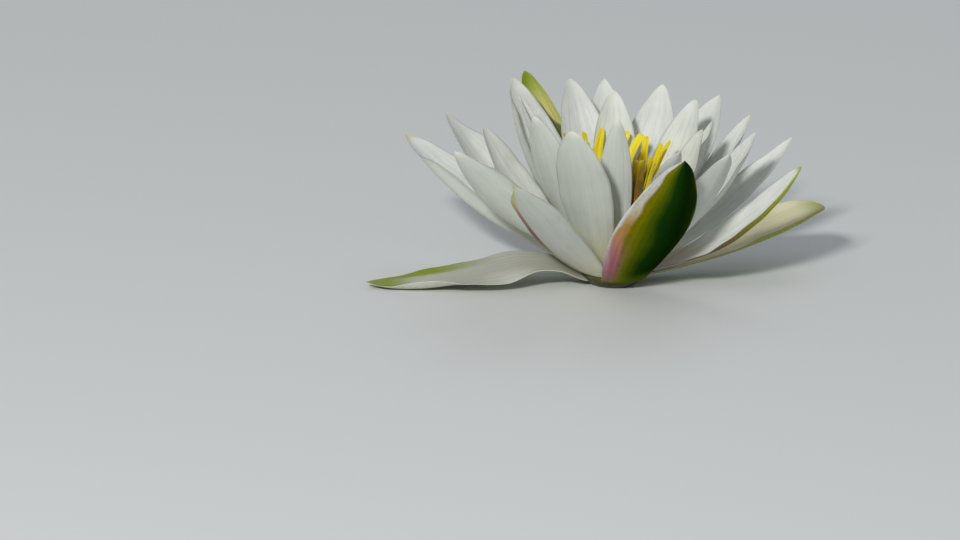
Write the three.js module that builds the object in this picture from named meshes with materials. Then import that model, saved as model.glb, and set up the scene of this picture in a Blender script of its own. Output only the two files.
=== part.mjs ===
// A white water lily flower, picked with its stalk trimmed flush under the flower, so that it stands
// by itself on a table: four sepals, spiral rows of petals, two rings of stamens and the stigma disc,
// all carried on the side and top of one receptacle.
//
// Frame: millimetres, +Z up, origin at the centre of the trimmed face under the receptacle, the table
// at z = 0. Azimuths are degrees anticlockwise from +X, seen from above, so -90 is the front.

import * as THREE from "three";

const DEG = Math.PI / 180;

// ---------------------------------------------------------------------------------------------
// Driving dimensions
// ---------------------------------------------------------------------------------------------

const GAP = 0.3; // clearance between a piece and what carries it

// The receptacle's half profile, [radius, height]: the trimmed stalk, the flare and the ovary.
const RECEPTACLE_PROFILE = [
  [6.2, 0.0],
  [7.3, 0.9],
  [8.35, 2.2],
  [8.5, 4.0],
  [8.6, 6.5],
  [8.3, 9.5],
  [7.6, 12.2],
  [6.7, 14.6],
  [5.0, 16.9],
];
const RECEPTACLE_TOP = 17.3;
const RECEPTACLE_SIDES = 24;

const STIGMA = {
  height: RECEPTACLE_TOP + GAP,
  radius: 5.2,
  rimHeight: 2.9,
  bowlHeight: 1.2,
  knobHeight: 2.4,
  rays: 14,
  rayDepth: 0.09,
};

// Heights on the receptacle where each row is attached, from the outside of the flower inwards.
const ROW = { sepals: 2.3, outer: 4.1, second: 5.9, third: 7.6, fourth: 9.3, inner: 11.0 };

// A blade is a sepal, petal or stamen.
//   azimuth  the way it points
//   rise     its slope where it leaves the receptacle
//   bend     how much steeper it has become at its tip
//   hook     the same, but gathered towards the tip
//   sway     how far it turns sideways
//   roll     how far its face is turned about its own length at the root
//   twist    how much further its face has turned by half way
//   cup      how high its edges stand, as a share of its half width
//   claw     width of its root as a share of its full width
//   widest   where along it the full width comes
//   blunt    the lower, the rounder its tip
const BLADE = {
  bend: 0, hook: 0, sway: 0, roll: 0, twist: 0, blunt: 0.75, lengthSteps: 9, widthSteps: 4,
};
const SEPAL = { ...BLADE, row: "sepals", claw: 0.5, widest: 0.5, thickness: 1.4, cup: 0.38 };
const PETAL = { ...BLADE, claw: 0.42, widest: 0.54, thickness: 0.9, cup: 0.3 };
const STAMEN = {
  ...BLADE, claw: 0.9, widest: 0.45, blunt: 0.35, thickness: 0.8, cup: 0.25, lengthSteps: 6,
  widthSteps: 2,
};

const SEPALS = [
  {
    name: "sepal_left", azimuth: 196, rise: 21, bend: -112, hook: 103, sway: -6, roll: -8, twist: 4,
    length: 59.5, width: 17, cup: 0.1, claw: 0.45,
  },
  {
    name: "sepal_front", azimuth: -60, rise: 39, bend: 26, sway: -17, length: 55, width: 20,
    claw: 0.65, widest: 0.44,
  },
  {
    name: "sepal_right", azimuth: 26, rise: 3, bend: 22.5, length: 57, width: 17.5, cup: 0.3,
    blunt: 0.5, widest: 0.6,
  },
  {
    name: "sepal_back", azimuth: 118.5, rise: 33, bend: 22.5, length: 62.5, width: 13, cup: 0.42,
    claw: 0.3,
  },
];

const PETALS = [
  // The outermost petals stand between the sepals.
  {
    row: "outer", azimuth: -126, rise: 31, bend: 13, sway: 12, length: 57.5, width: 17, claw: 0.6,
    blunt: 0.85,
  },
  {
    row: "outer", azimuth: -7, rise: 14.5, bend: 47, length: 53.5, width: 13, claw: 0.3, twist: 20,
    blunt: 0.7,
  },
  { row: "outer", azimuth: 33, rise: 14.5, bend: 35, length: 58, width: 11, blunt: 0.85 },
  { row: "outer", azimuth: 77, rise: 20, bend: 12, length: 55, width: 14 },
  { row: "outer", azimuth: 151.5, rise: 13, bend: 24, length: 63, width: 17, claw: 0.35, blunt: 0.65 },
  // Second row.
  {
    row: "second", azimuth: -158, rise: 29, bend: 25, length: 51, width: 13, claw: 0.48, widest: 0.48,
    twist: 34,
  },
  { row: "second", azimuth: -38, rise: 37, bend: 32, length: 47.5, width: 17, twist: -5 },
  { row: "second", azimuth: 31.5, rise: 32, bend: 32, length: 50, width: 11, claw: 0.34 },
  { row: "second", azimuth: 95, rise: 44, bend: 12, length: 52, width: 12 },
  { row: "second", azimuth: 130, rise: 34, bend: 30, length: 55, width: 13, claw: 0.38 },
  {
    row: "second", azimuth: 165, rise: 28, bend: 29, length: 54, width: 13.5, claw: 0.38,
    blunt: 0.65,
  },
  // Third row.
  { row: "third", azimuth: 180, rise: 35, bend: 33, length: 45, width: 13.5, twist: -8, blunt: 0.85 },
  { row: "third", azimuth: -116, rise: 56, bend: 17, length: 45.5, width: 16, claw: 0.44 },
  { row: "third", azimuth: -69, rise: 50, bend: 16, sway: 29, length: 44, width: 15, claw: 0.45 },
  { row: "third", azimuth: 10, rise: 31, bend: 38, length: 45.5, width: 12, twist: 12 },
  { row: "third", azimuth: 51, rise: 32, bend: 29, length: 51.5, width: 16, claw: 0.34, twist: -8 },
  { row: "third", azimuth: 108, rise: 51, bend: 12, sway: 12, length: 48, width: 14 },
  // Fourth row.
  { row: "fourth", azimuth: 66, rise: 51, bend: 13, sway: 8, length: 45.5, width: 14, blunt: 0.85 },
  { row: "fourth", azimuth: 151, rise: 54, bend: 12, length: 44, width: 10.5 },
  { row: "fourth", azimuth: -165, rise: 62, bend: 14, length: 40.5, width: 13.5, twist: 35 },
  { row: "fourth", azimuth: 14, rise: 49, bend: 30, length: 39.5, width: 10.5, claw: 0.34 },
  // The innermost petals, the steepest ones.
  { row: "inner", azimuth: -6, rise: 53, bend: 28, length: 36.5, width: 14, claw: 0.36, twist: 25 },
  { row: "inner", azimuth: 38, rise: 52, bend: 22, sway: 5, length: 41, width: 14, claw: 0.36 },
  { row: "inner", azimuth: 94, rise: 67, bend: 12, length: 39, width: 12.5 },
  { row: "inner", azimuth: -92, rise: 75, bend: 20, length: 38, width: 9.3, widest: 0.44 },
];

// The stamens stand in two rings on the ovary's shoulder, at a height and from an azimuth start.
// Every other one of a ring leans out more, by spread degrees, and is longer, by stretch
// millimetres. Those at the front stand straighter, as the petal in front of them does.
const OUTER_STAMENS = {
  height: 12.9, count: 15, start: -3, rise: 71, bend: 16, length: 27, width: 2.8, spread: 4, stretch: 1.2,
};
const INNER_STAMENS = {
  height: 14.9, count: 14, start: 8, rise: 73, bend: 22, length: 21, width: 2.4, spread: 3, stretch: 1.2,
};
const FRONT_STRAIGHTER = 11; // degrees

// ---------------------------------------------------------------------------------------------
// Blades
// ---------------------------------------------------------------------------------------------

const receptacleSide = new THREE.SplineCurve(
  RECEPTACLE_PROFILE.map(([radius, height]) => new THREE.Vector2(radius, height)),
).getPoints(16);

// The receptacle's radius at a height, read off its profile.
function receptacleRadius(height) {
  const above = receptacleSide.findIndex((point) => point.y >= height);
  const [low, high] = [receptacleSide[above - 1], receptacleSide[above]];
  return THREE.MathUtils.mapLinear(height, low.y, high.y, low.x, high.x);
}

// A blade's half width as a share of its greatest, at a share s of its length.
function outline(blade, s) {
  if (s < blade.widest) {
    return blade.claw + (1 - blade.claw) * Math.sin((Math.PI / 2) * (s / blade.widest));
  }
  const toTip = (s - blade.widest) / (1 - blade.widest);
  return Math.pow(1 - Math.pow(toTip, 2.2), blade.blunt);
}

// The way a blade's middle line runs at a share s of its length: outwards along +X, up along +Z.
function direction(blade, s) {
  const slope = (blade.rise + blade.bend * s + blade.hook * s * s) * DEG;
  const heading = blade.sway * s * DEG;
  return new THREE.Vector3(
    Math.cos(slope) * Math.cos(heading),
    Math.cos(slope) * Math.sin(heading),
    Math.sin(slope),
  );
}

// Stations from the root, at the origin, to the tip, closer together towards the tip. Each has its
// place on the middle line and the blade's own axes there: across it, and out of its inner face.
function stations(blade) {
  const fineSteps = 240;
  const step = blade.length / fineSteps;
  const line = [new THREE.Vector3()];
  for (let k = 0; k < fineSteps; k++) {
    line.push(line[k].clone().addScaledVector(direction(blade, (k + 0.5) / fineSteps), step));
  }
  const found = [];
  for (let i = 0; i <= blade.lengthSteps; i++) {
    const t = i / blade.lengthSteps;
    const k = Math.round(fineSteps * t * (1.3 - 0.3 * t));
    const s = k / fineSteps;
    const along = direction(blade, s);
    const heading = blade.sway * s * DEG;
    const across = new THREE.Vector3(-Math.sin(heading), Math.cos(heading), 0);
    const turn = blade.roll + blade.twist * THREE.MathUtils.smoothstep(s, 0, 0.5);
    across.applyAxisAngle(along, turn * DEG);
    found.push({ s, place: line[k], across, inward: along.clone().cross(across) });
  }
  return found;
}

// A closed solid: rings of points across the blade, one at each station, closed at the root by a
// strip and at the tip by a point. Each ring runs along the inner face and back along the outer.
// The root clasps a round wall of the given radius, and the edges rise as the blade leaves it.
function bladeGeometry(blade, wallRadius) {
  const rings = stations(blade);
  const tip = rings.pop();
  const points = [];
  for (const { s, place, across, inward } of rings) {
    const halfWidth = (blade.width / 2) * outline(blade, s);
    const halfThickness = (blade.thickness / 2) * (1 - 0.45 * s);
    const free = THREE.MathUtils.smoothstep(s, 0, 0.3);
    const addPoint = (v, side) => {
      const sideways = halfWidth * v;
      const lift = free * blade.cup * halfWidth * v * v + side * halfThickness * Math.sqrt(1 - v * v);
      const point = place.clone().addScaledVector(across, sideways).addScaledVector(inward, lift);
      point.x -= ((1 - free) * sideways * sideways) / (2 * wallRadius);
      points.push(point);
    };
    for (let j = 0; j <= blade.widthSteps; j++) addPoint(1 - (2 * j) / blade.widthSteps, 1);
    for (let j = blade.widthSteps - 1; j > 0; j--) addPoint(1 - (2 * j) / blade.widthSteps, -1);
  }
  points.push(tip.place);

  const around = 2 * blade.widthSteps;
  const indices = [];
  for (let i = 0; i < rings.length - 1; i++) {
    for (let j = 0; j < around; j++) {
      const [a, b] = [i * around + j, i * around + ((j + 1) % around)];
      indices.push(a, b, a + around, b, b + around, a + around);
    }
  }
  const last = (rings.length - 1) * around;
  for (let j = 0; j < around; j++) {
    indices.push(last + j, last + ((j + 1) % around), points.length - 1);
  }
  for (let j = 0; j < blade.widthSteps; j++) {
    const [innerA, innerB] = [j, j + 1];
    const [outerA, outerB] = [(around - j) % around, around - j - 1];
    if (outerA !== innerA) indices.push(innerA, outerA, innerB);
    if (outerB !== innerB) indices.push(innerB, outerA, outerB);
  }
  return new THREE.BufferGeometry().setFromPoints(points).setIndex(indices);
}

// The mesh of a blade whose root stands a gap away from the receptacle's side, at a height on it.
function bladeMesh(name, blade, height, material) {
  const lean = (blade.thickness / 2) * Math.sin(blade.rise * DEG);
  const radius = receptacleRadius(height) + GAP + lean;
  const mesh = new THREE.Mesh(bladeGeometry(blade, radius), material);
  const azimuth = blade.azimuth * DEG;
  mesh.name = name;
  mesh.rotation.z = azimuth;
  mesh.position.set(radius * Math.cos(azimuth), radius * Math.sin(azimuth), height);
  return mesh;
}

function numbered(stem, index) {
  return `${stem}_${String(index + 1).padStart(2, "0")}`;
}

// ---------------------------------------------------------------------------------------------
// Receptacle and stigma disc
// ---------------------------------------------------------------------------------------------

function receptacleGeometry() {
  const side = receptacleSide.filter((point, i) => i % 2 === 0);
  const outlinePoints = [
    new THREE.Vector2(0, 0),
    ...side,
    new THREE.Vector2(side[side.length - 1].x * 0.7, RECEPTACLE_TOP),
    new THREE.Vector2(0, RECEPTACLE_TOP),
  ];
  return standing(new THREE.LatheGeometry(outlinePoints, RECEPTACLE_SIDES));
}

// The disc on the ovary: a shallow bowl with a raised rim, a knob in its middle, and rays that
// scallop the rim.
function stigmaGeometry() {
  const { radius, rimHeight, bowlHeight, knobHeight, rays, rayDepth } = STIGMA;
  const profile = [
    new THREE.Vector2(0, 0),
    new THREE.Vector2(radius * 0.72, 0),
    new THREE.Vector2(radius * 0.9, rimHeight * 0.25),
    new THREE.Vector2(radius, rimHeight * 0.62),
    new THREE.Vector2(radius * 0.95, rimHeight),
    new THREE.Vector2(radius * 0.84, rimHeight * 0.86),
    new THREE.Vector2(radius * 0.6, bowlHeight * 1.2),
    new THREE.Vector2(radius * 0.32, bowlHeight),
    new THREE.Vector2(radius * 0.24, knobHeight * 0.86),
    new THREE.Vector2(radius * 0.12, knobHeight),
    new THREE.Vector2(0, knobHeight * 1.02),
  ];
  const geometry = new THREE.LatheGeometry(profile, rays * 2);
  const position = geometry.getAttribute("position");
  const point = new THREE.Vector3();
  for (let i = 0; i < position.count; i++) {
    point.fromBufferAttribute(position, i);
    const spread = Math.hypot(point.x, point.z);
    const nearRim = THREE.MathUtils.smoothstep(spread, radius * 0.4, radius * 0.9);
    const ray = Math.cos(rays * Math.atan2(point.x, point.z));
    const scale = 1 + (nearRim * rayDepth * (ray - 1)) / 2;
    position.setXYZ(i, point.x * scale, point.y, point.z * scale);
  }
  return standing(geometry);
}

// A lathe turns about Y, so it is stood up to turn about Z.
function standing(geometry) {
  return geometry.rotateX(Math.PI / 2);
}

// ---------------------------------------------------------------------------------------------
// Materials
// ---------------------------------------------------------------------------------------------

function finish(color, roughness) {
  return new THREE.MeshStandardMaterial({ color, roughness, metalness: 0 });
}

const petalWhite = finish(0xe9ece6, 0.5);
const sepalGreen = finish(0x7d9424, 0.35);
const stamenYellow = finish(0xf2d21c, 0.5);
const stigmaYellow = finish(0xd9b32a, 0.55);
const receptacleGreen = finish(0x7c7f3a, 0.6);

// ---------------------------------------------------------------------------------------------
// The flower
// ---------------------------------------------------------------------------------------------

const flower = new THREE.Group();

const receptacle = new THREE.Mesh(receptacleGeometry(), receptacleGreen);
receptacle.name = "receptacle";
flower.add(receptacle);

const stigmaDisc = new THREE.Mesh(stigmaGeometry(), stigmaYellow);
stigmaDisc.name = "stigma_disc";
stigmaDisc.position.z = STIGMA.height;
flower.add(stigmaDisc);

SEPALS.forEach((sepal) => {
  flower.add(bladeMesh(sepal.name, { ...SEPAL, ...sepal }, ROW.sepals, sepalGreen));
});

PETALS.forEach((petal, i) => {
  flower.add(bladeMesh(numbered("petal", i), { ...PETAL, ...petal }, ROW[petal.row], petalWhite));
});

let stamensMade = 0;
for (const ring of [OUTER_STAMENS, INNER_STAMENS]) {
  for (let i = 0; i < ring.count; i++) {
    const leansOut = i % 2;
    const azimuth = ring.start + (360 * i) / ring.count;
    const atFront = Math.max(0, -Math.sin(azimuth * DEG));
    const stamen = {
      ...STAMEN,
      azimuth,
      rise: ring.rise - leansOut * ring.spread + atFront * FRONT_STRAIGHTER,
      bend: ring.bend,
      length: ring.length + leansOut * ring.stretch,
      width: ring.width,
    };
    flower.add(bladeMesh(numbered("stamen", stamensMade), stamen, ring.height, stamenYellow));
    stamensMade += 1;
  }
}

export default flower;
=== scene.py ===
"""A white water lily flower, finished over its packed construction.

Every blade (a petal, sepal or stamen) is a plain closed solid in the construction. Here the solid's
stations are read back, joined by smooth curves and grown into a fine surface: a thin section that ends
in a rounded margin, a channel down the middle, wavy edges and lengthwise ribs. The fine blade rides on
the same body and stands for the plain one. Lengths are metres, +Z is up and the front is -Y.
"""

import logging
import math
from dataclasses import dataclass, field, replace
from enum import Enum
from functools import cached_property

import bmesh
import bpy
import numpy as np
from mathutils import Matrix, Vector


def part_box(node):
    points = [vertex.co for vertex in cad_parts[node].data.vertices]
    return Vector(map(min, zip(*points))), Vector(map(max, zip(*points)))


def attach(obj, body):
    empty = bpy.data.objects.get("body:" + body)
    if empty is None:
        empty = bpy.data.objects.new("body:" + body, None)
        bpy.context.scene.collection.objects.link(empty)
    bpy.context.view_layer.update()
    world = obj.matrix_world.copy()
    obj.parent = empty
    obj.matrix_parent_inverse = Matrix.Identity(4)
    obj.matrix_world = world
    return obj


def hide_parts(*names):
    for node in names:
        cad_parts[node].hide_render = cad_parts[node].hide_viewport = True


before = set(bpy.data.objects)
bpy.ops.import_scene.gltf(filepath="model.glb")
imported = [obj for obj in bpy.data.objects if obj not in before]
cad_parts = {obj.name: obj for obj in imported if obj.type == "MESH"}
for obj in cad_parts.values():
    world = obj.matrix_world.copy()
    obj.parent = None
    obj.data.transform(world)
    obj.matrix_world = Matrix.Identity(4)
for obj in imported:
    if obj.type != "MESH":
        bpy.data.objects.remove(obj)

log = logging.getLogger("water_lily")

MM = 0.001
UP = np.array([0.0, 0.0, 1.0])
FULL_TURN = 2 * math.pi
ROOT_BODY = "root"
WELD = 1e-6  # corners of the construction closer than this are one point

# Blades: places and lengths are shares of a blade's length, and those across it of its half width.
RING_CROWDING = 1.55  # the higher, the closer the rings lie towards the tip
TURN_EASE = 0.18  # the length over which a turned margin comes and goes
CUT_TIP = 0.16  # the length over which a shortened blade rounds off
NIB_LENGTH = 0.012  # the length that the nib takes
KEEL_ROUNDING = 0.1  # how far from the middle the keel is rounded off
LIFTED = (0.0, 0.16, 0.22, 0.55)  # where an arched blade's lift comes, is full, begins to go and is gone
LEANING = (0.45, 1.2)  # where the tip's lean comes and is full
WAVY = (0.1, 0.4)  # where the waves come and are full
WAVE_BREADTH = 2.5  # the higher, the closer the waves keep to the margin
RIPPLE = 2.3  # how many times finer the second set of waves is
RIBBED = (0.02, 0.25, 0.75, 0.98)  # where the ribs come, are full, begin to go and are gone
TAPER = 0.55  # how much thinner the tip is than the root
MARGIN_FULLNESS = 0.7  # the lower, the blunter the margin
CLOSING = (0.985, 1.0)  # where the two faces close at the tip
POLLEN = (0.36, 0.5, 0.93, 0.99)  # where the pollen ridges come, are full, begin to go and are gone
RIDGE_PLACE = 0.5  # how far across the middle of a pollen ridge lies
RIDGE_BREADTH = 0.24  # how broad it is
STAMEN_SEED = 100  # added to a stamen's number, so that its waves aren't a petal's
RING_SEED = 500  # the same for the stamens of the further rings

Colour = tuple[float, float, float, float]
Socket = bpy.types.NodeSocket
Stops = tuple[tuple[float, str], ...]
Widths = tuple[tuple[float, float, float], ...]


class Slot(Enum):
    """The record's material slots."""

    PETAL = "petal"
    SEPAL = "sepal"
    STAMEN = "stamen"
    STIGMA = "stigma"
    RECEPTACLE = "receptacle"


class Side(Enum):
    """A margin of a blade, by the sign of its place across."""

    LEFT = 1.0
    RIGHT = -1.0


# ---- Small helpers ----


def paint(code: str) -> Colour:
    """Turns a web colour into the linear colour that a shader takes.

    Args:
        code: The colour as six hexadecimal digits.

    Returns:
        Red, green, blue and alpha, linear.
    """
    shares = [int(code[i : i + 2], 16) / 255 for i in (0, 2, 4)]
    red, green, blue = [c / 12.92 if c <= 0.04045 else ((c + 0.055) / 1.055) ** 2.4 for c in shares]
    return (red, green, blue, 1.0)


def smooth(value: np.ndarray, low: float, high: float) -> np.ndarray:
    """Rises from 0 at low to 1 at high, level at both ends."""
    share = np.clip((np.asarray(value, float) - low) / (high - low), 0.0, 1.0)
    return share * share * (3 - 2 * share)


def hump(value: np.ndarray, come: float, full: float, going: float, gone: float) -> np.ndarray:
    """Rises smoothly from 0 at come to 1 at full, and falls back from going to gone."""
    return smooth(value, come, full) * (1 - smooth(value, going, gone))


def unit(vectors: np.ndarray) -> np.ndarray:
    """The same directions with length 1."""
    return vectors / np.maximum(np.linalg.norm(vectors, axis=-1, keepdims=True), 1e-12)


def summed_from_middle(steps: np.ndarray) -> np.ndarray:
    """Adds steps up along each row, outwards from the row's middle.

    Args:
        steps: The steps, by row.

    Returns:
        One more sum than steps in each row, 0 in its middle.
    """
    sums = np.pad(np.cumsum(steps, axis=1), ((0, 0), (1, 0)))
    middle = sums.shape[1] // 2
    return sums - sums[:, middle : middle + 1]


def curve_through(knots: np.ndarray, values: np.ndarray, at: np.ndarray) -> np.ndarray:
    """A smooth curve through given values, carried on straight past its ends.

    Args:
        knots: Where the values stand, rising.
        values: One value or vector for each knot.
        at: Where to read the curve.

    Returns:
        The curve's values at those places.
    """
    flat = values.reshape(len(knots), -1)
    gaps = np.diff(knots)[:, None]
    steps = np.diff(flat, axis=0) / gaps
    between = (steps[:-1] * gaps[1:] + steps[1:] * gaps[:-1]) / (gaps[:-1] + gaps[1:])
    slopes = np.vstack([steps[:1], between, steps[-1:]])
    k = np.clip(np.searchsorted(knots, at, side="right") - 1, 0, len(knots) - 2)
    gap = gaps[k]
    t = ((at - knots[k])[:, None]) / gap
    inside = np.clip(t, 0, 1)
    cubic = (
        (1 + 2 * inside) * (1 - inside) ** 2 * flat[k]
        + inside * (1 - inside) ** 2 * gap * slopes[k]
        + inside**2 * (3 - 2 * inside) * flat[k + 1]
        + inside**2 * (inside - 1) * gap * slopes[k + 1]
    )
    past = np.where(t < 0, t * gap * slopes[k], np.where(t > 1, (t - 1) * gap * slopes[k + 1], 0.0))
    return (cubic + past).reshape((len(at),) + values.shape[1:])


# ---- Reading the construction ----


@dataclass(frozen=True)
class Spine:
    """A blade's stations, from its root to its tip.

    Attributes:
        share: How far along the blade each station is, from 0 to 1.
        place: The middle of the blade there.
        across: The unit direction from the middle to the left margin.
        bow: From the middle to the point half way between the margins.
        half_width: From that point to either margin.
    """

    share: np.ndarray
    place: np.ndarray
    across: np.ndarray
    bow: np.ndarray
    half_width: np.ndarray


def welded(mesh: bpy.types.Mesh) -> tuple[np.ndarray, list[set[int]]]:
    """A mesh's distinct points, and the points that each shares an edge with.

    Args:
        mesh: A mesh of the construction.

    Returns:
        The points, and one set of neighbours for each.
    """
    corners = np.array([vertex.co for vertex in mesh.vertices], float)
    cells = np.round(corners / WELD).astype(int)
    _, first, index = np.unique(cells, axis=0, return_index=True, return_inverse=True)
    index = index.ravel()
    neighbours: list[set[int]] = [set() for _ in first]
    for polygon in mesh.polygons:
        ring = [int(index[v]) for v in polygon.vertices]
        for a, b in zip(ring, ring[1:] + ring[:1]):
            neighbours[a].add(b)
            neighbours[b].add(a)
    return corners[first], neighbours


def layers_from(start: int, neighbours: list[set[int]]) -> list[list[int]]:
    """Sorts points by how many edges away from a start they are.

    Args:
        start: The point to start from.
        neighbours: The points that each point shares an edge with.

    Returns:
        The layers, the start itself first.
    """
    layers = [[start]]
    seen = {start}
    while layers[-1]:
        reached = sorted({n for point in layers[-1] for n in neighbours[point]} - seen)
        seen.update(reached)
        layers.append(reached)
    return layers[:-1]


def read_rings(mesh: bpy.types.Mesh) -> tuple[list[np.ndarray], np.ndarray]:
    """The rings of points that a blade's plain solid is lofted through.

    Seen from its tip, and only from there, every layer of such a solid is one whole ring.

    Args:
        mesh: The plain solid.

    Returns:
        The rings from the root on, and the tip.
    """
    points, neighbours = welded(mesh)
    for start in range(len(points)):
        layers = layers_from(start, neighbours)
        if len({len(layer) for layer in layers[1:]}) == 1:
            return [points[layer] for layer in reversed(layers[1:])], points[start]
    raise ValueError(f"{mesh.name} isn't a lofted blade")


def read_spine(mesh: bpy.types.Mesh) -> Spine:
    """Reads a blade's stations back from its plain solid.

    Args:
        mesh: The plain solid.

    Returns:
        Its stations.
    """
    rings, tip = read_rings(mesh)
    centres = np.array([ring.mean(axis=0) for ring in rings])
    places, acrosses, bows, halves = [], [], [], []
    for i, ring in enumerate(rings):
        reach = np.linalg.norm(ring[:, None] - ring[None], axis=-1)
        a, b = np.unravel_index(reach.argmax(), reach.shape)
        across = unit(ring[a] - ring[b])
        if i == 0:
            along = centres[1] - centres[0]
            upward = UP - unit(centres[0] * [1, 1, 0])
            forward = np.dot(np.cross(along, across), upward) > 0
        else:
            forward = np.dot(across, acrosses[-1]) > 0
        across = across if forward else -across
        halfway = (ring[a] + ring[b]) / 2
        sideways = np.abs((ring - halfway) @ across)
        # The two points nearest to half way across lie on the two faces, on either side of the middle.
        place = ring[np.argsort(sideways)[:2]].mean(axis=0)
        places.append(place)
        acrosses.append(across)
        bows.append(halfway - place)
        halves.append(reach.max() / 2)
    place = np.vstack([places, tip])
    lengths = np.concatenate([[0.0], np.cumsum(np.linalg.norm(np.diff(place, axis=0), axis=1))])
    return Spine(
        share=lengths / lengths[-1],
        place=place,
        across=np.vstack([acrosses, acrosses[-1]]),
        bow=np.vstack([bows, np.zeros(3)]),
        half_width=np.append(halves, 0.0),
    )


# ---- Closed meshes ----


def tube(rings: int, around: int) -> list[list[int]]:
    """The faces between rings of points that follow one another.

    Args:
        rings: How many rings there are.
        around: Points in each.

    Returns:
        The points of each face.
    """
    start = np.arange(rings - 1)[:, None] * around
    here = start + np.arange(around)[None]
    beside = start + (np.arange(around)[None] + 1) % around
    return np.stack([here, beside, beside + around, here + around], axis=-1).reshape(-1, 4).tolist()


def fan(first: int, around: int, point: int) -> list[list[int]]:
    """The faces from a ring of points, of which the first is given, to one point beyond it."""
    return [[first + j, first + (j + 1) % around, point] for j in range(around)]


def finished_mesh(
    name: str, points: np.ndarray, faces: list[list[int]], **attributes: np.ndarray
) -> bpy.types.Mesh:
    """Makes a smooth mesh whose faces point out.

    Args:
        name: The mesh's name.
        points: Its points.
        faces: The points of each face.
        attributes: A number for each point, by name.

    Returns:
        The mesh.
    """
    mesh = bpy.data.meshes.new(name)
    mesh.from_pydata(points.tolist(), [], faces)
    work = bmesh.new()
    work.from_mesh(mesh)
    bmesh.ops.recalc_face_normals(work, faces=work.faces)
    work.to_mesh(mesh)
    work.free()
    mesh.polygons.foreach_set("use_smooth", [True] * len(mesh.polygons))
    for key, values in attributes.items():
        mesh.attributes.new(key, "FLOAT", "POINT").data.foreach_set("value", values.astype(np.float32))
    mesh.update()
    return mesh


def turned_mesh(name: str, grid: np.ndarray, cut: np.ndarray) -> bpy.types.Mesh:
    """Makes the closed mesh of a form that is turned round the upright axis.

    Args:
        name: The mesh's name.
        grid: Its points, by place along the outline from the bottom and by step round it.
        cut: 1 for the places along the outline that lie in a cut face, 0 for the others.

    Returns:
        The mesh.
    """
    count, around = grid.shape[:2]
    points = np.vstack([grid.reshape(-1, 3), [0, 0, grid[0, 0, 2]], [0, 0, grid[-1, 0, 2]]])
    faces = tube(count, around)
    faces += [[b, a, middle] for a, b, middle in fan(0, around, len(points) - 2)]
    faces += fan((count - 1) * around, around, len(points) - 1)
    return finished_mesh(name, points, faces, cut=np.append(np.repeat(cut, around), [cut[0], cut[-1]]))


def add_piece(mesh: bpy.types.Mesh, material: bpy.types.Material, slot: Slot, *nodes: str) -> None:
    """Puts a piece in the scene, on the flower's body.

    Args:
        mesh: The piece's mesh, whose name it takes.
        material: Its finish.
        slot: The record's slot of that finish; not used.
        nodes: The nodes of the construction that it stands for.
    """
    piece = bpy.data.objects.new(mesh.name, mesh)
    bpy.context.scene.collection.objects.link(piece)
    mesh.materials.append(material)
    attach(piece, ROOT_BODY)
    if nodes:
        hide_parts(*nodes)
    log.info("built %s", piece.name)


# ---- Fine blades ----


@dataclass(frozen=True)
class Turn:
    """A margin that is turned up, over part of a blade.

    Attributes:
        side: Which margin.
        angle: How far it is turned inwards, in degrees; less than 0 turns it outwards.
        reach: How much of the half width turns.
        start: Where it begins, as a share of the length.
        end: Where it ends; 1 carries it into the tip.
        crisp: How narrow the bend is, from 0 to 1.
    """

    side: Side
    angle: float
    reach: float = 0.35
    start: float = 0.2
    end: float = 1.0
    crisp: float = 0.5

    def angles(self, s: np.ndarray, v: np.ndarray) -> np.ndarray:
        """How far the blade is turned by this.

        Args:
            s: Places along the blade.
            v: Places across it.

        Returns:
            The angles by place along and across, in radians.
        """
        ahead = smooth(s, self.start, self.start + TURN_EASE)
        behind = 1 - smooth(s, self.end - TURN_EASE, self.end) if self.end < 1 else np.ones_like(s)
        hinge = 1 - self.reach
        soft = self.reach * (1 - self.crisp)
        bent = smooth(v * self.side.value, hinge - soft, hinge + soft)
        return math.radians(self.angle) * (ahead * behind)[:, None] * bent[None]


@dataclass(frozen=True)
class BladeShape:
    """How a fine blade departs from its plain solid.

    Attributes:
        steps: Rings along the blade.
        strips: Strips across each face.
        tip_round: The lower, the rounder the tip.
        nib: How far the very tip is pinched to a point, from 0 to 1.
        thickness: In the middle of the root.
        widths: Places along the blade, with the factors there on the width left and right of the middle.
        keel: 2 for a round channel, near 1 for one creased down the middle.
        turns: The margins that are turned.
        wave: How far the margins wander up and down, as a share of the half width.
        waves: How many times they do along the blade.
        ribs: Lengthwise ribs across the blade.
        rib_height: Their height.
        nod: How far the last part leans inwards, as a share of the length.
        sway: How far it leans to the left.
        bulge: How far the middle part bows inwards.
        bow: How far it bows to the left.
        arch: How far the first part is lifted, as a share of the length.
        twist: How far the blade is turned about its own length, in degrees.
        reach: How much of the plain solid's length the blade has.
        sink: How far the root runs on into what carries it, as a share of the length.
        anther: Height of the two pollen ridges on the inner face.
        seed: Chooses the phase of the waves.
    """

    steps: int = 72
    strips: int = 34
    tip_round: float = 0.72
    nib: float = 0.3
    thickness: float = 0.55 * MM
    widths: Widths = ((0.0, 1.0, 1.0), (1.0, 1.0, 1.0))
    keel: float = 1.7
    turns: tuple[Turn, ...] = ()
    wave: float = 0.025
    waves: float = 2.3
    ribs: float = 7.0
    rib_height: float = 0.045 * MM
    nod: float = 0.0
    sway: float = 0.0
    bulge: float = 0.0
    bow: float = 0.0
    arch: float = 0.0
    twist: float = 0.0
    reach: float = 1.0
    sink: float = 0.02
    anther: float = 0.0
    seed: int = 0


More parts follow.
